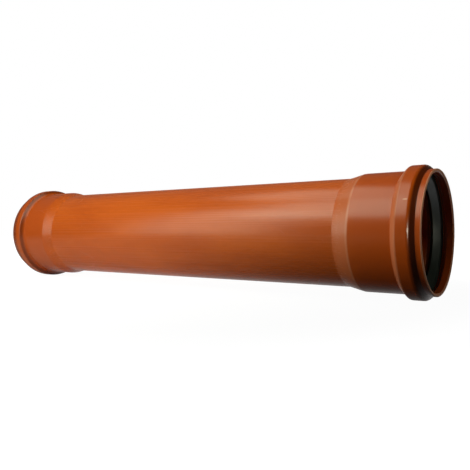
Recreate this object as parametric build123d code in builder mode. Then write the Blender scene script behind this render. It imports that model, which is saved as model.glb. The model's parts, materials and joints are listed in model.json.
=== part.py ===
from build123d import *
from math import atan2, degrees, tan
import os

# Double socket drain pipe: a short length of smooth plastic sewer pipe whose two ends
# are heated and formed over a mandrel, so that each takes the plain end of the next
# pipe. A rubber lip ring sits in the groove of each socket.
#
# Sizes are in millimetres. The pipe lies along X on its two beads, with +Z up, and the
# origin is on the ground under the middle of the pipe.

# Pipe
pipe_outer_d = 110.0
wall = 3.2                # the formed ends keep the wall of the pipe
laid_length = 448.0       # from the depth of one socket to the depth of the other

# Sockets, with lengths counted along the pipe from the mouth inwards
socket_depth = 67.0       # from the mouth to the start of the taper
spigot_clearance = 0.8    # around the next pipe's plain end, in the barrel
collar_step = 0.7         # how much wider than the barrel's bore the collar is, all round
collar_length = 5.5       # from the mouth to the foot of the bead
groove_depth = 5.1        # how far the seal groove goes out from the barrel's bore
front_length = 4.6        # slope from the collar up to the bead
bead_length = 12.0        # from the top of that slope to the shoulder
shoulder_length = 4.8     # slope from the bead down to the barrel
taper_length = 16.0       # cone from the barrel down to the pipe

# Rounded corners of the formed ends, and the cut edges of the mouths
bead_front_r = 4.0
bead_back_r = 2.0
taper_r = 8.0
mouth_bevel = 0.5         # outer edge of the mouth
lead_in = 1.2             # inner edge of the mouth, which starts the next pipe in

# Seal ring, with its lip pressed back as it is when a pipe is in the socket
seal_gap = 0.2            # between the ring and its groove
nose_setback = 1.2        # front edge of the ring, outside the collar's bore
lip_stand = 0.1           # how far the pressed lip stands out of the barrel's bore
lip_length = 6.2          # from the root of the slit behind it to its tip
lip_thickness = 1.4       # at the root
lip_tip_thickness = 0.7
lip_setback = 0.9         # from the tip to the start of the barrel's bore

pipe_r = pipe_outer_d / 2
barrel_bore_r = pipe_r + spigot_clearance
barrel_r = barrel_bore_r + wall
collar_bore_r = barrel_bore_r + collar_step
collar_r = collar_bore_r + wall
bead_r = barrel_bore_r + groove_depth + wall
half_length = laid_length / 2 + socket_depth
front_angle = atan2(bead_r - collar_r, front_length)
shoulder_angle = atan2(bead_r - barrel_r, shoulder_length)
taper_angle = atan2(barrel_r - pipe_r, taper_length)

# The pipe's axis, and a section plane through it: x along the pipe, y out from the axis
axis_height = bead_r
pipe_axis = Axis((0, 0, axis_height), (1, 0, 0))
section_plane = Plane(origin=(0, 0, axis_height), x_dir=(1, 0, 0), z_dir=(0, -1, 0))


def socket_side(inset):
    """Corners of a socket's side as (depth, radius), inset into its wall.

    An inset of 0 is the outside of the socket and an inset of one wall its inside.
    A corner that turns by an angle moves by the inset times the tangent of half of it.
    """
    front_shift = inset * tan(front_angle / 2)
    shoulder_shift = inset * tan(shoulder_angle / 2)
    taper_shift = inset * tan(taper_angle / 2)
    bead_start = collar_length + front_length
    bead_end = bead_start + bead_length
    return [
        (0, collar_r - inset),
        (collar_length + front_shift, collar_r - inset),
        (bead_start + front_shift, bead_r - inset),
        (bead_end - shoulder_shift, bead_r - inset),
        (bead_end + shoulder_length - shoulder_shift, barrel_r - inset),
        (socket_depth - taper_shift, barrel_r - inset),
        (socket_depth + taper_length - taper_shift, pipe_r - inset),
    ]


def both_ends(side):
    """The side of the whole pipe, from the left mouth to the right mouth."""
    left = [(depth - half_length, radius) for depth, radius in side]
    right = [(half_length - depth, radius) for depth, radius in reversed(side)]
    return left + right


def mouth_edges(which):
    """The inner (0) or the outer (-1) edge of both mouths."""
    flat_faces = pipe.faces().filter_by(GeomType.PLANE).sort_by(Axis.X)
    return [mouth.edges().sort_by(SortBy.RADIUS)[which] for mouth in (flat_faces[0], flat_faces[-1])]


# One radius for each corner from the mouth inwards: only the outside is rounded
corner_radii = [0, bead_front_r, bead_back_r, 0, taper_r, 0]

# Pipe body: one revolved wall, formed into a socket at each end
with BuildPart() as pipe:
    with BuildSketch(section_plane):
        with BuildLine():
            outside = FilletPolyline(*both_ends(socket_side(0)), radius=corner_radii + corner_radii[::-1])
            inside = Polyline(*both_ends(socket_side(wall)))
            Line(outside @ 0, inside @ 0)
            Line(outside @ 1, inside @ 1)
        make_face()
    revolve(axis=pipe_axis)
    chamfer(mouth_edges(-1), length=mouth_bevel)
    chamfer(mouth_edges(0), length=lead_in)

# Seal ring: it fills the groove, with a lip that slopes from the collar into the socket
# and a slit behind the lip that lets it bend
seat = socket_side(wall + seal_gap)
seat_front, seat_r = seat[2]
seat_back = seat[3][0]
nose_r = collar_bore_r + nose_setback
tip_r = barrel_bore_r - lip_stand
tip_depth = socket_side(wall)[4][0] - lip_setback
slit_root = tip_depth - lip_length
lip_slope = (nose_r - tip_r) / (tip_depth - seat_front)
slit_r = tip_r + lip_slope * lip_length + lip_thickness
slit_mouth = seat_back + (seat_r - slit_r) / tan(shoulder_angle)
seal_section = [
    (seat_front, seat_r),
    (seat_back, seat_r),
    (slit_mouth, slit_r),
    (slit_root, slit_r),
    (tip_depth, tip_r + lip_tip_thickness),
    (tip_depth, tip_r),
    (seat_front, nose_r),
]

with BuildPart() as seal_ring_right:
    with BuildSketch(section_plane):
        with BuildLine():
            Polyline(*[(half_length - depth, radius) for depth, radius in seal_section], close=True)
        make_face()
    revolve(axis=pipe_axis)

with BuildPart() as seal_ring_left:
    add(mirror(seal_ring_right.part, about=Plane.YZ, mode=Mode.PRIVATE))

pipe.part.label = "pipe"
seal_ring_right.part.label = "seal_ring_right"
seal_ring_left.part.label = "seal_ring_left"

os.makedirs("parts", exist_ok=True)
export_step(pipe.part, "parts/pipe.step")
export_step(seal_ring_right.part, "parts/seal_ring_right.step")
export_step(seal_ring_left.part, "parts/seal_ring_left.step")

bore_start = socket_side(wall)[4][0]
bore_end = socket_side(wall)[5][0]
print(f"overall length {2 * half_length:.2f}, bead diameter {2 * bead_r:.2f}, barrel diameter {2 * barrel_r:.2f}")
print(f"barrel bore radius {barrel_bore_r:.2f}, straight from {bore_start:.2f} to {bore_end:.2f} deep")
print(f"bead front {degrees(front_angle):.1f} degrees, shoulder {degrees(shoulder_angle):.1f} degrees")
print(f"taper {degrees(taper_angle):.1f} degrees, seal lip {degrees(atan2(lip_slope, 1)):.1f} degrees")
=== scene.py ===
# %% [markdown]
# This lesson dresses a short plastic drain pipe with a socket at each end. The pipe itself
# is a finished solid that comes from the CAD frame. Here it gets its plastic, and the two
# rubber rings in its sockets are modelled again with the soft, free lip of a new ring.
# Everything is in metres. The pipe lies along X, and the floor is at Z = 0.

# %% Load the frame
import json
from math import cos, radians, sin, tan

import bpy
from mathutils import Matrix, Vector


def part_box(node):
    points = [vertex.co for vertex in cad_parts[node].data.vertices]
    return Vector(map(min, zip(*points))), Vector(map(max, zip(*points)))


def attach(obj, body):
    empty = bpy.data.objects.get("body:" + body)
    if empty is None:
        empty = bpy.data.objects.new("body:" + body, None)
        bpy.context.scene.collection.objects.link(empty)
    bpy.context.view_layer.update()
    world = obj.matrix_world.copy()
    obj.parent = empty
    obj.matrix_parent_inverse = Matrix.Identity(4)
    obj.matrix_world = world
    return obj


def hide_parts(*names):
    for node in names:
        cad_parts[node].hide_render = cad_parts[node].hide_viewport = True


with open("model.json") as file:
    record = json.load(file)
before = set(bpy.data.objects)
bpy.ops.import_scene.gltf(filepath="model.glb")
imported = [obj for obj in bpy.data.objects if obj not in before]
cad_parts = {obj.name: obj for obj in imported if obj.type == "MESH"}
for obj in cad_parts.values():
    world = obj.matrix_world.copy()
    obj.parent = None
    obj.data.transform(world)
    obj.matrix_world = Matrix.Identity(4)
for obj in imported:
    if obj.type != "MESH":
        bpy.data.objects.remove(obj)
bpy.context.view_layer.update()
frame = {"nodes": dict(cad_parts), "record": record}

MM = 0.001
nodes = frame["nodes"]
record = frame["record"]
print("CAD nodes:", sorted(nodes))

# %% [markdown]
# A turned part is easiest to think of as distances from its axis and depths from its mouth.
# The frame gives both: a socket is a bore mount, so its record holds the axis, the radius
# and the middle of the straight bore. The rest of the groove's sizes follow from them.

# %% Measure the pipe
mounts = {mount["name"]: mount for mount in record["mounts"]}
axis_point = Vector(mounts["socket_right"]["pos_m"])
axis_height = axis_point.z
bore_r = mounts["socket_right"]["dims"]["r_mm"] * MM
pipe_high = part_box("pipe")[1]
half_length = pipe_high.x
ring_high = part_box("seal_ring_right")[1]
ring_front = half_length - ring_high.x
ring_r = ring_high.z - axis_height
print(f"axis {axis_height / MM:.1f} mm up, bore radius {bore_r / MM:.1f} mm")
print(f"mouths {half_length / MM:.1f} mm from the middle")
print(f"ring {ring_front / MM:.1f} mm inside the mouth, radius {ring_r / MM:.1f} mm")

# %% [markdown]
# The picture was taken from beside the near socket, level with the axis, looking along the
# pipe through a slightly long lens. A camera at the height of the axis draws the pipe's
# outline the same above and below, as it is in the picture. A small shift slides the picture
# in its frame without turning the camera.

# %% Set up the camera
camera_past_mouth = 133.5 * MM
camera_in_front = 537.0 * MM
camera_turn = radians(36.335)
lens_mm = 42.16
shift_across = 0.0472
shift_up = -0.0047

camera_data = bpy.data.cameras.new("camera")
camera_data.lens = lens_mm
camera_data.shift_x = shift_across
camera_data.shift_y = shift_up
camera_data.clip_start = 0.01
camera = bpy.data.objects.new("camera", camera_data)
camera.location = (half_length + camera_past_mouth, -camera_in_front, axis_height)
camera.rotation_euler = (radians(90), 0, camera_turn)
bpy.context.scene.collection.objects.link(camera)
bpy.context.scene.camera = camera
print("camera at", [round(value, 3) for value in camera.location])

# %% [markdown]
# A shader is a graph of small nodes. These helpers add a node, set its values and join it to
# the nodes before it, so that each material below reads as a list of what it is made of.

# %% Helpers for shader nodes
def add_node(tree, kind, links=None, **values):
    """A new node. Its values and links are given by the name or the number of the input."""
    node = tree.nodes.new(kind)
    for name, value in values.items():
        setattr(node, name, value)
    for socket, source in (links or {}).items():
        if isinstance(source, bpy.types.NodeSocket):
            tree.links.new(source, node.inputs[socket])
        else:
            node.inputs[socket].default_value = source
    return node


def math_node(tree, operation, first, second=0.0, clamp=False):
    """The result of one sum on two values or sockets."""
    node = add_node(tree, "ShaderNodeMath", {0: first, 1: second}, operation=operation, use_clamp=clamp)
    return node.outputs[0]


def vector_math(tree, operation, first, second=(0.0, 0.0, 0.0)):
    """The result of one sum on two vectors, which is a number for a length or a distance."""
    node = add_node(tree, "ShaderNodeVectorMath", {0: first, 1: second}, operation=operation)
    return node.outputs["Value" if operation in ("LENGTH", "DISTANCE") else "Vector"]


def map_range(tree, value, from_low, from_high, to_low=0.0, to_high=1.0):
    """The value, carried from one range to another with soft ends."""
    links = {"Value": value, "From Min": from_low, "From Max": from_high, "To Min": to_low, "To Max": to_high}
    node = add_node(tree, "ShaderNodeMapRange", links, interpolation_type="SMOOTHSTEP")
    return node.outputs["Result"]


def mix_color(tree, mask, first, second):
    """The first colour where the mask is 0, and the second where it is 1."""
    node = add_node(tree, "ShaderNodeMix", {0: mask, 6: first, 7: second}, data_type="RGBA")
    return node.outputs[2]


def new_material(name):
    """An empty material, its node tree and its output node."""
    material = bpy.data.materials.new(name)
    material.use_nodes = True
    tree = material.node_tree
    tree.nodes.clear()
    output = tree.nodes.new("ShaderNodeOutputMaterial")
    return material, tree, output


# %% [markdown]
# Several effects are shared by the plastic and the rubber, so each is a node group: a small
# machine with named inputs and outputs. The first one finds edges. The Bevel node gives the
# normal that the surface would have if its edges were rounded, and where that differs from
# the real normal there is an edge, which handling rubs a little paler.

# %% Group for rubbed edges
def new_group(name, inputs, outputs):
    """A node group with sockets of the given kinds, and its input and output nodes."""
    group = bpy.data.node_groups.new(name, "ShaderNodeTree")
    for socket_name, kind, value in inputs:
        socket = group.interface.new_socket(socket_name, in_out="INPUT", socket_type=kind)
        if value is not None:
            socket.default_value = value
    for socket_name, kind in outputs:
        group.interface.new_socket(socket_name, in_out="OUTPUT", socket_type=kind)
    return group, group.nodes.new("NodeGroupInput"), group.nodes.new("NodeGroupOutput")


rubbed_edges, entry, result = new_group(
    "rubbed_edges",
    [("Radius", "NodeSocketFloat", 0.0006), ("Patch Scale", "NodeSocketFloat", 90.0)],
    [("Mask", "NodeSocketFloat")],
)
rounded = add_node(rubbed_edges, "ShaderNodeBevel", {"Radius": entry.outputs["Radius"]}, samples=4)
flat = rubbed_edges.nodes.new("ShaderNodeNewGeometry")
difference = vector_math(rubbed_edges, "DISTANCE", rounded.outputs["Normal"], flat.outputs["Normal"])
edge_mask = map_range(rubbed_edges, difference, 0.15, 0.6)
place = rubbed_edges.nodes.new("ShaderNodeTexCoord")
patches = add_node(
    rubbed_edges,
    "ShaderNodeTexNoise",
    {"Vector": place.outputs["Object"], "Scale": entry.outputs["Patch Scale"], "Detail": 4.0},
)
broken = map_range(rubbed_edges, patches.outputs["Fac"], 0.35, 0.65, 0.35, 1.0)
worn = math_node(rubbed_edges, "MULTIPLY", edge_mask, broken)
rubbed_edges.links.new(worn, result.inputs["Mask"])
print("group", rubbed_edges.name, "with", len(rubbed_edges.nodes), "nodes")

# %% [markdown]
# The second group draws hair scratches, the marks of sliding in and out of a rack. A Voronoi
# texture's cell edges are thin lines. One noise bends them a little, and another breaks them
# up. Stretched along the pipe, they become short scratches that mostly run lengthwise.

# %% Group for fine scratches
bend_size = (0.02, 0.02, 0.02)

fine_scratches, entry, result = new_group(
    "fine_scratches",
    [
        ("Vector", "NodeSocketVector", None),
        ("Scale", "NodeSocketFloat", 60.0),
        ("Width", "NodeSocketFloat", 0.012),
        ("Amount", "NodeSocketFloat", 0.5),
    ],
    [("Mask", "NodeSocketFloat")],
)
bend = add_node(
    fine_scratches,
    "ShaderNodeTexNoise",
    {"Vector": entry.outputs["Vector"], "Scale": 14.0, "Detail": 2.0},
)
small_bend = vector_math(fine_scratches, "MULTIPLY", bend.outputs["Color"], bend_size)
bent = vector_math(fine_scratches, "ADD", small_bend, entry.outputs["Vector"])
cells = add_node(
    fine_scratches,
    "ShaderNodeTexVoronoi",
    {"Vector": bent, "Scale": entry.outputs["Scale"]},
    feature="DISTANCE_TO_EDGE",
)
ratio = math_node(fine_scratches, "DIVIDE", cells.outputs["Distance"], entry.outputs["Width"])
line = map_range(fine_scratches, ratio, 1.0, 0.0)
gaps = add_node(
    fine_scratches,
    "ShaderNodeTexNoise",
    {"Vector": entry.outputs["Vector"], "Scale": 37.0, "Detail": 3.0},
)
kept = map_range(fine_scratches, gaps.outputs["Fac"], 0.56, 0.66)
scratch = math_node(fine_scratches, "MULTIPLY", line, kept)
scaled = math_node(fine_scratches, "MULTIPLY", scratch, entry.outputs["Amount"])
fine_scratches.links.new(scaled, result.inputs["Mask"])
print("group", fine_scratches.name, "with", len(fine_scratches.nodes), "nodes")

# %% [markdown]
# The plastic is unplasticised PVC in the orange-brown of buried drains, pushed out of a round
# die. That leaves hair-fine lines along the pipe and a colour that drifts a little. Noise
# that is squeezed along one direction makes such lines. The ends were heated and formed
# after that, so they are a shade deeper and have faint lines round them instead. A mask on
# the distance from the middle of the pipe leads from one to the other.

# %% Lines and colour of the plastic
pvc_orange = (0.620, 0.112, 0.006, 1.0)
pvc_deep = (0.540, 0.090, 0.004, 1.0)
pvc_formed = (0.500, 0.078, 0.003, 1.0)
length_grain = (3.0, 900.0, 900.0)
ring_grain = (420.0, 14.0, 14.0)
drift_grain = (9.0, 30.0, 30.0)
socket_start = 204.0 * MM
socket_blend = 32.0 * MM
line_share = 0.10


def stretched_noise(tree, vector, grain, detail=3.0):
    """Noise with the given number of grains to a metre along each axis."""
    placed = add_node(tree, "ShaderNodeMapping", {"Vector": vector, "Scale": grain})
    noise = add_node(
        tree,
        "ShaderNodeTexNoise",
        {"Vector": placed.outputs["Vector"], "Scale": 1.0, "Detail": detail, "Roughness": 0.55},
    )
    return noise.outputs["Fac"]


plastic, tree, output = new_material("orange_pvc")
place = tree.nodes.new("ShaderNodeTexCoord").outputs["Object"]
along = add_node(tree, "ShaderNodeSeparateXYZ", {"Vector": place}).outputs["X"]
from_middle = math_node(tree, "ABSOLUTE", along)
on_socket = map_range(tree, from_middle, socket_start, socket_start + socket_blend)
length_lines = stretched_noise(tree, place, length_grain)
ring_lines = map_range(tree, stretched_noise(tree, place, ring_grain), 0.2, 0.8, 0.42, 0.56)
both_lines = {0: on_socket, 2: length_lines, 3: ring_lines}
lines = add_node(tree, "ShaderNodeMix", both_lines, data_type="FLOAT").outputs[0]
drift = map_range(tree, stretched_noise(tree, place, drift_grain, 2.0), 0.35, 0.7)
drawn = mix_color(tree, drift, pvc_orange, pvc_deep)
base = mix_color(tree, on_socket, drawn, pvc_formed)
lined = mix_color(tree, map_range(tree, lines, 0.45, 0.75, 0.0, line_share), base, pvc_deep)
print("lines and colour:", len(tree.nodes), "nodes so far")

# %% [markdown]
# Handling leaves its marks. Edges are rubbed paler and hair scratches run along the pipe.
# The near bead has one small mark, painted pale for the glint that lies on it. The mark is
# the space inside a tiny ellipsoid: the distance from its middle is divided by its size along
# each axis, and counts as inside where the result is under one.

# %% Wear and the painted glint of a mark
pvc_rubbed = (0.620, 0.200, 0.085, 1.0)
pvc_pale_highlight = (0.800, 0.420, 0.260, 1.0)
rub_share = 0.50
scratch_share = 0.45
scratch_stretch = (0.22, 1.0, 1.0)
mark_angle = radians(27)
mark_r = pipe_high.z - axis_height
mark_depth = 14.1 * MM
mark_size = (2.4 * MM, 0.9 * MM, 0.9 * MM)
glint_share = 0.7


def place_group(tree, group, **inputs):
    """A node group in a material, with its inputs set or joined."""
    node = tree.nodes.new("ShaderNodeGroup")
    node.node_tree = group
    for name, source in inputs.items():
        socket = node.inputs[name.replace("_", " ").title()]
        if isinstance(source, bpy.types.NodeSocket):
            tree.links.new(source, socket)
        else:
            socket.default_value = source
    return node.outputs["Mask"]


wear = place_group(tree, rubbed_edges, radius=0.7 * MM)
stretched_place = add_node(tree, "ShaderNodeMapping", {"Vector": place, "Scale": scratch_stretch})
long_vector = stretched_place.outputs["Vector"]
scratches = place_group(tree, fine_scratches, vector=long_vector, scale=70.0, width=0.008, amount=0.18)
scratched = mix_color(tree, math_node(tree, "MULTIPLY", scratches, scratch_share), lined, pvc_rubbed)
rubbed = mix_color(tree, math_node(tree, "MULTIPLY", wear, rub_share), scratched, pvc_rubbed)

# A small mark on the near bead, painted pale for its glint.
mark_out = mark_r * cos(mark_angle)
mark_up = mark_r * sin(mark_angle)
mark_at = (half_length - mark_depth, -mark_out, axis_height + mark_up)
per_size = [1 / size for size in mark_size]
from_mark = vector_math(tree, "SUBTRACT", place, mark_at)
in_sizes = vector_math(tree, "MULTIPLY", from_mark, per_size)
glinting_mark = map_range(tree, vector_math(tree, "LENGTH", in_sizes), 0.6, 1.1, glint_share, 0.0)
print("wear and scuff:", len(tree.nodes), "nodes so far")

# %% [markdown]
# The near socket's shoulder and taper face the lamps on the left, and a painted highlight
# lies on them as pale bands, most along the taper's corner. The cut rims of the mouths have
# a painted highlight too. Each pale band is a mask on the depth from the mouth, which rises
# over two depths and falls over the next two.

# %% Painted highlight bands
# Painted highlight on the near shoulder and taper, which face the lamps on the left.
painted_highlight_bands = [
    ("shoulder", (20.0, 21.4), (25.6, 27.4), 0.24),
    ("taper", (65.5, 67.5), (78.0, 86.0), 0.14),
    ("corner of the taper", (65.5, 66.8), (67.6, 69.2), 0.16),
]
rim_highlight_share = 0.60


def band(tree, depth, rise, fall, share):
    """A mask that rises to the share over two depths in mm, and falls over two others."""
    rising = map_range(tree, depth, rise[0] * MM, rise[1] * MM, 0.0, share)
    falling = map_range(tree, depth, fall[0] * MM, fall[1] * MM, 1.0, 0.0)
    return math_node(tree, "MULTIPLY", rising, falling)


near_depth = math_node(tree, "SUBTRACT", half_length, along)
far_depth = math_node(tree, "ADD", half_length, along)
depth = math_node(tree, "SUBTRACT", half_length, from_middle)
painted_highlight = 0.0
for name, rise, fall, share in painted_highlight_bands:
    painted_highlight = math_node(tree, "ADD", painted_highlight, band(tree, near_depth, rise, fall, share))
highlighted = mix_color(tree, painted_highlight, rubbed, pvc_pale_highlight)
# A painted highlight on the cut rims of the mouths; the same mask makes them matt further down.
rim_highlight_and_matt = map_range(tree, depth, 0.6 * MM, 1.2 * MM, rim_highlight_share, 0.0)
rim_highlighted = mix_color(tree, rim_highlight_and_matt, highlighted, pvc_pale_highlight)
glinted = mix_color(tree, glinting_mark, rim_highlighted, pvc_pale_highlight)
print("pale bands:", [name for name, rise, fall, share in painted_highlight_bands])

# %% [markdown]
# Shade is painted into the colour where little light falls: on the slope in front of each
# bead, which faces away from the lamps, and round the far bead, on its front and along the
# foot of its shoulder. The same kind of mask places it. It is kept to the outside of the wall
# by the distance from the axis.

# %% Painted shade in the steps
step_shade_colour = (0.060, 0.009, 0.001, 1.0)
slope_share = 0.80
far_share = 0.60

# Painted shade on the slopes before the beads and round the far bead.
slope_shade = band(tree, depth, (4.8, 5.8), (8.2, 10.4), slope_share)
far_foot_shade = band(tree, far_depth, (21.0, 23.0), (24.2, 26.6), far_share)
far_front_shade = map_range(tree, far_depth, 11.0 * MM, 16.0 * MM, far_share, 0.0)
from_axis = vector_math(tree, "SUBTRACT", place, (0, 0, axis_height))
radius = vector_math(tree, "LENGTH", vector_math(tree, "MULTIPLY", from_axis, (0, 1, 1)))
outside = map_range(tree, radius, bore_r + 2.4 * MM, bore_r + 3.4 * MM)
any_shade = math_node(tree, "MAXIMUM", math_node(tree, "MAXIMUM", slope_shade, far_foot_shade), far_front_shade)
painted_shade = math_node(tree, "MULTIPLY", any_shade, outside)
coloured = mix_color(tree, painted_shade, glinted, step_shade_colour)
print("dirt:", len(tree.nodes), "nodes so far")

# %% [markdown]
# The skin is satin. Its gloss varies with the lines, and the formed ends, which the mandrel
# smoothed, are a touch glossier. The scratches are duller, and the sawn edges of the mouths
# are matt. At a grazing angle the gloss softens, so that a lamp behind the pipe draws no hard
# white line along its edge. The lines also raise the surface by a hair through a Bump node,
# and the scratches cut into it.

# %% Skin of the plastic
satin_low = 0.25
satin_high = 0.29
formed_change = -0.01
edge_duller = 0.6
scratch_duller = 0.25
grazing_duller = 0.22

satin = map_range(tree, lines, 0.3, 0.75, satin_low, satin_high)
formed = math_node(tree, "ADD", satin, math_node(tree, "MULTIPLY", on_socket, formed_change))
facing = add_node(tree, "ShaderNodeLayerWeight", {"Blend": 0.5}).outputs["Facing"]
cut = math_node(tree, "ADD", formed, math_node(tree, "MULTIPLY", rim_highlight_and_matt, edge_duller))
softened = math_node(tree, "ADD", cut, map_range(tree, facing, 0.82, 0.98, 0.0, grazing_duller))
rough = math_node(tree, "ADD", softened, math_node(tree, "MULTIPLY", scratches, scratch_duller))
height = math_node(tree, "SUBTRACT", math_node(tree, "MULTIPLY", lines, 0.5), scratches)
relief = add_node(tree, "ShaderNodeBump", {"Strength": 0.025, "Distance": 0.2 * MM, "Height": height})
skin = add_node(
    tree,
    "ShaderNodeBsdfPrincipled",
    {"Base Color": coloured, "Roughness": rough, "Normal": relief.outputs["Normal"], "IOR": 1.46},
)
tree.links.new(skin.outputs["BSDF"], output.inputs["Surface"])
nodes["pipe"].material_slots[0].material = plastic
print("material", plastic.name, "with", len(tree.nodes), "nodes")

# %% [markdown]
# The sealing ring is moulded rubber. Its body fills the groove behind the collar, and from
# its rounded nose a thin lip reaches inwards until a pipe pushes it back. Only the lip and
# the nose show in the mouth, and the slit behind the lip can be seen from inside the pipe.
# The ring starts as an open cylinder the size of its body. Its front loop is then extruded,
# scaled and moved again and again, from one corner of the section to the next, until it
# comes round to the back loop, and the two are bridged. The corners are listed once, as
# depth from the mouth and distance from the axis.

# %% Shape the right ring
ring_sides = 192
body_back = 20.6 * MM
shoulder_slope = radians(46.7)
lip_root_r = 57.9 * MM
heel_depth = body_back + (ring_r - lip_root_r) / tan(shoulder_slope)
axis_at = (0, 0, axis_height)
ring_corners = [
    ("nose outside", 12.5 * MM, 57.9 * MM),
    ("nose inside", 12.9 * MM, 57.2 * MM),
    ("lip front", 14.2 * MM, 56.3 * MM),
    ("lip tip", 19.4 * MM, 52.9 * MM),
    ("lip tip back", 20.0 * MM, 53.4 * MM),
    ("slit bottom", 16.6 * MM, 56.5 * MM),
    ("slit root", 16.8 * MM, lip_root_r),
    ("heel", heel_depth, lip_root_r),
]


def deselect_all():
    """Nothing stays selected, so that the next operator acts on its own piece alone."""
    bpy.ops.object.select_all(action="DESELECT")


def select_loops(piece, wanted):
    """Only the rings of edges at the wanted depths and radii are selected, in edit mode."""
    near = 0.01 * MM
    same_depth = 0.001 * MM
    bpy.ops.object.mode_set(mode="OBJECT")
    mesh = piece.data
    chosen = set()
    for vertex in mesh.vertices:
        depth = half_length - vertex.co.x
        radius = (vertex.co - Vector((vertex.co.x, 0, axis_height))).length
        if any(abs(depth - d) < near and abs(radius - r) < near for d, r in wanted):
            chosen.add(vertex.index)
    for edge in mesh.edges:
        first, second = (mesh.vertices[index].co for index in edge.vertices)
        same_ring = abs(first.x - second.x) < same_depth
        edge.select = set(edge.vertices) <= chosen and same_ring
    for vertex in mesh.vertices:
        vertex.select = vertex.index in chosen
    for face in mesh.polygons:
        face.select = False
    bpy.ops.object.mode_set(mode="EDIT")
    bpy.ops.mesh.select_mode(type="EDGE")


deselect_all()
bpy.ops.mesh.primitive_cylinder_add(
    vertices=ring_sides,
    radius=ring_r,
    depth=body_back - ring_front,
    end_fill_type="NOTHING",
    location=(half_length - (ring_front + body_back) / 2, 0, axis_height),
    rotation=(0, radians(90), 0),
)
right_ring = bpy.context.object
right_ring.name = "seal_lip_ring_right"
bpy.ops.object.transform_apply(location=True, rotation=True, scale=True)
select_loops(right_ring, [(ring_front, ring_r)])
last_depth, last_r = ring_front, ring_r
for name, depth, radius in ring_corners:
    bpy.ops.mesh.extrude_region_move()
    scale = radius / last_r
    bpy.ops.transform.resize(value=(1, scale, scale), center_override=axis_at)
    bpy.ops.transform.translate(value=(last_depth - depth, 0, 0))
    last_depth, last_r = depth, radius
select_loops(right_ring, [(heel_depth, lip_root_r), (body_back, ring_r)])
bpy.ops.mesh.bridge_edge_loops()
bpy.ops.mesh.select_all(action="SELECT")
bpy.ops.mesh.normals_make_consistent(inside=False)
bpy.ops.object.mode_set(mode="OBJECT")
print("ring:", len(right_ring.data.vertices), "points,", len(right_ring.data.polygons), "faces")

# %% [markdown]
# A moulded edge is never sharp. The loops where the section turns are bevelled with a few
# segments each, more on the lip, which the eye meets first. Smooth shading then blends what
# turns gently and keeps the corners.

# %% Round the ring's corners
corner_places = {name: (depth, radius) for name, depth, radius in ring_corners}
soft_corners = ("nose inside", "lip front", "lip tip", "lip tip back")
firm_corners = ("nose outside", "slit bottom", "slit root", "heel")
soft_round = 0.28 * MM
firm_round = 0.15 * MM
soft_segments = 4
firm_segments = 2
smooth_angle = radians(50)


def round_loops(piece, names, offset, segments):
    """The named loops of a ring are bevelled."""
    select_loops(piece, [corner_places[name] for name in names])
    bpy.ops.mesh.bevel(offset=offset, segments=segments, affect="EDGES", profile=0.5)
    bpy.ops.object.mode_set(mode="OBJECT")


round_loops(right_ring, soft_corners, soft_round, soft_segments)
round_loops(right_ring, firm_corners, firm_round, firm_segments)
bpy.ops.object.shade_smooth_by_angle(angle=smooth_angle)
print("ring:", len(right_ring.data.polygons), "faces once rounded")

# %% [markdown]
# The far socket has the same ring, turned to face its own mouth. A copy is mirrored across
# the middle of the pipe. Mirroring turns a mesh inside out, so its normals are worked out
# again.

# %% Mirror the left ring
deselect_all()
right_ring.select_set(True)
bpy.context.view_layer.objects.active = right_ring
bpy.ops.object.duplicate()
left_ring = bpy.context.object
left_ring.name = "seal_lip_ring_left"
bpy.ops.object.mode_set(mode="EDIT")
bpy.ops.mesh.select_all(action="SELECT")
bpy.ops.transform.resize(value=(-1, 1, 1), center_override=axis_at)
bpy.ops.mesh.normals_make_consistent(inside=False)
bpy.ops.object.mode_set(mode="OBJECT")
for ring, node in ((right_ring, "seal_ring_right"), (left_ring, "seal_ring_left")):
    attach(ring, "root")
    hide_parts(node)
    print(ring.name, "stands for", node)

# %% [markdown]
# Sealing rubber is black with a touch of green, duller than the plastic, and a little greyer
# where its mould release shows. Its few long scuffs come from the same scratch group.

# %% Rubber of the rings
rubber_black = (0.026, 0.036, 0.030, 1.0)
rubber_bloom = (0.050, 0.062, 0.054, 1.0)
bloom_grain = (260.0, 90.0, 90.0)
moulding_grain = (2600.0, 30.0, 30.0)
bloom_share = 0.45
worn_share = 0.3

rubber, tree, output = new_material("sealing_rubber")
place = tree.nodes.new("ShaderNodeTexCoord").outputs["Object"]
bloom = stretched_noise(tree, place, bloom_grain, 4.0)
moulding = stretched_noise(tree, place, moulding_grain, 2.0)
wear = place_group(tree, rubbed_edges, radius=0.4 * MM)
scratches = place_group(tree, fine_scratches, vector=place, scale=120.0, width=0.012, amount=0.4)
greyer = map_range(tree, bloom, 0.45, 0.8, 0.0, bloom_share)
bloomed = mix_color(tree, greyer, rubber_black, rubber_bloom)
greyed = mix_color(tree, math_node(tree, "MULTIPLY", wear, worn_share), bloomed, rubber_bloom)
rough = map_range(tree, bloom, 0.3, 0.8, 0.40, 0.56)
height = math_node(tree, "SUBTRACT", moulding, scratches)
relief = add_node(tree, "ShaderNodeBump", {"Strength": 0.10, "Distance": 0.1 * MM, "Height": height})
skin = add_node(
    tree,
    "ShaderNodeBsdfPrincipled",
    {"Base Color": greyed, "Roughness": rough, "Normal": relief.outputs["Normal"], "IOR": 1.50},
)
tree.links.new(skin.outputs["BSDF"], output.inputs["Surface"])
for ring in (right_ring, left_ring):
    ring.data.materials.clear()
    ring.data.materials.append(rubber)
print("material", rubber.name, "with", len(tree.nodes), "nodes")

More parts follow.
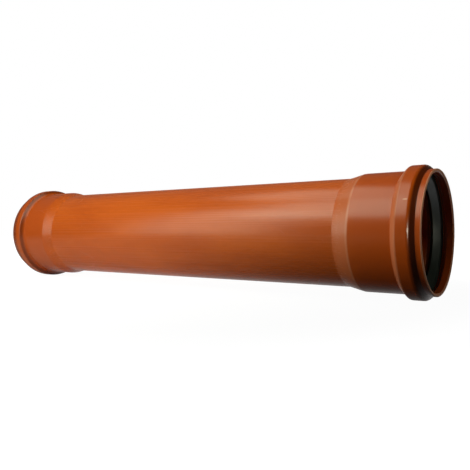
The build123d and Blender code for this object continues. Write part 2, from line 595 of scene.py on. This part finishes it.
# %% [markdown]
# The picture's ground is plain white with no horizon. The floor is a large plane. To the
# camera it is mostly a steady white, and only near the pipe does a share of its real, shaded
# colour show, so the shadow is there but stays faint. Its real colour is pale on the left and
# dark on the right, because the light that it throws back up colours the pipe's underside,
# and there the picture is much darker on the right. Behind the pipe the gloss sees it white.

# %% Floor
floor_size = 12.0
floor_left = (0.80, 0.80, 0.80, 1.0)
floor_right = (0.04, 0.04, 0.04, 1.0)
left_until = -0.12
right_from = 0.30
shadow_share = 0.15
shadow_reach = 0.60
ground_glow = 1.14
gloss_white = 0.7

deselect_all()
bpy.ops.mesh.primitive_plane_add(size=floor_size, location=(0, 0, 0))
floor = bpy.context.object
floor.name = "floor"
paper, tree, output = new_material("white_floor")
ray = tree.nodes.new("ShaderNodeLightPath")
place = tree.nodes.new("ShaderNodeTexCoord").outputs["Object"]
away = vector_math(tree, "LENGTH", place)
shown = map_range(tree, away, 0.5 * shadow_reach, shadow_reach, shadow_share, 0.0)
parts = add_node(tree, "ShaderNodeSeparateXYZ", {"Vector": place})
to_right = map_range(tree, parts.outputs["X"], left_until, right_from)
table = mix_color(tree, to_right, floor_left, floor_right)
matt = add_node(tree, "ShaderNodeBsdfDiffuse", {"Color": table})
glow = add_node(tree, "ShaderNodeEmission", {"Color": (1, 1, 1, 1), "Strength": ground_glow})
to_camera = math_node(tree, "SUBTRACT", ray.outputs["Is Camera Ray"], shown, clamp=True)
behind = map_range(tree, parts.outputs["Y"], -0.04, 0.04, 0.0, gloss_white)
to_gloss = math_node(tree, "MULTIPLY", ray.outputs["Is Glossy Ray"], behind)
white = math_node(tree, "MAXIMUM", to_camera, to_gloss)
matt_and_glow = {0: white, 1: matt.outputs["BSDF"], 2: glow.outputs["Emission"]}
blend = add_node(tree, "ShaderNodeMixShader", matt_and_glow)
tree.links.new(blend.outputs["Shader"], output.inputs["Surface"])
floor.data.materials.append(paper)
print("floor", floor_size, "m wide")

# %% [markdown]
# The studio around the pipe is dim, a little less so on the left. What the camera sees of it
# is pure white. A glossy surface sees a pale backdrop beyond the pipe, low down, which draws
# the pale lines along the shoulders and the lower edge, as a white sheet behind it would. In
# a world shader a place is a direction, and its parts run from -1 to 1.

# %% World
room_left = (0.12, 0.12, 0.12, 1.0)
room_right = (0.01, 0.01, 0.01, 1.0)
backdrop_white = (0.50, 0.40, 0.28, 1.0)
left_share = 0.3

world = bpy.data.worlds.new("studio")
bpy.context.scene.world = world
world.use_nodes = True
tree = world.node_tree
tree.nodes.clear()
ray = tree.nodes.new("ShaderNodeLightPath")
direction = tree.nodes.new("ShaderNodeTexCoord").outputs["Generated"]
parts = add_node(tree, "ShaderNodeSeparateXYZ", {"Vector": direction})
room = mix_color(tree, map_range(tree, parts.outputs["X"], -0.6, 0.3), room_left, room_right)
beyond = map_range(tree, parts.outputs["Y"], 0.10, 0.45)
low = map_range(tree, parts.outputs["Z"], 0.15, 0.40, 1.0, 0.0)
left_end = map_range(tree, parts.outputs["X"], -0.95, -0.85, left_share, 0.0)
backdrop = math_node(tree, "MULTIPLY", math_node(tree, "MAXIMUM", beyond, left_end), low)
in_gloss = math_node(tree, "MULTIPLY", backdrop, ray.outputs["Is Glossy Ray"])
around = mix_color(tree, in_gloss, room, backdrop_white)
seen = mix_color(tree, ray.outputs["Is Camera Ray"], around, (1, 1, 1, 1))
sky = add_node(tree, "ShaderNodeBackground", {"Color": seen, "Strength": 1.0})
output = tree.nodes.new("ShaderNodeOutputWorld")
tree.links.new(sky.outputs["Background"], output.inputs["Surface"])

# %% [markdown]
# Three softboxes in front, above and to the left draw the long, soft highlight on the body.
# A thin one at the right is seen by the gloss alone, as the fine white line on the near bead.
# A small one reaches into the near mouth and a weak one lights the back, and these two leave
# no reflection. The light of all of them has a little less blue than white.

# %% Lamps
lamp_color = (0.96, 0.97, 0.78)


def softbox(name, place, size, power, aim_x):
    """A rectangular area lamp that faces the pipe's axis at the given distance along it."""
    data = bpy.data.lights.new(name, "AREA")
    data.shape = "RECTANGLE"
    data.size, data.size_y = size
    data.energy = power
    data.color = lamp_color
    lamp = bpy.data.objects.new(name, data)
    lamp.location = place
    aim = Vector((aim_x, 0, axis_height))
    lamp.rotation_euler = (Vector(place) - aim).to_track_quat("Z", "Y").to_euler()
    bpy.context.scene.collection.objects.link(lamp)
    return lamp


softbox("key", place=(-0.03, -0.46, 0.54), size=(0.42, 0.40), power=2.0, aim_x=0.12)
softbox("side", place=(-0.35, -0.60, 0.34), size=(0.34, 0.66), power=2.05, aim_x=0.24)
softbox("top", place=(-0.06, -0.12, 0.74), size=(0.55, 0.30), power=1.2, aim_x=0.05)
mouth = softbox("mouth", place=(0.76, -0.05, 0.42), size=(0.12, 0.12), power=0.44, aim_x=0.28)
edge = softbox("edge", place=(0.62, -0.55, 0.10), size=(0.03, 0.14), power=1.25, aim_x=0.28)
back = softbox("back", place=(0.0, 0.75, 0.30), size=(0.60, 0.30), power=2.2, aim_x=0.0)
edge.visible_diffuse = False
mouth.visible_glossy = False
back.visible_glossy = False

bpy.context.scene.view_settings.view_transform = "Standard"
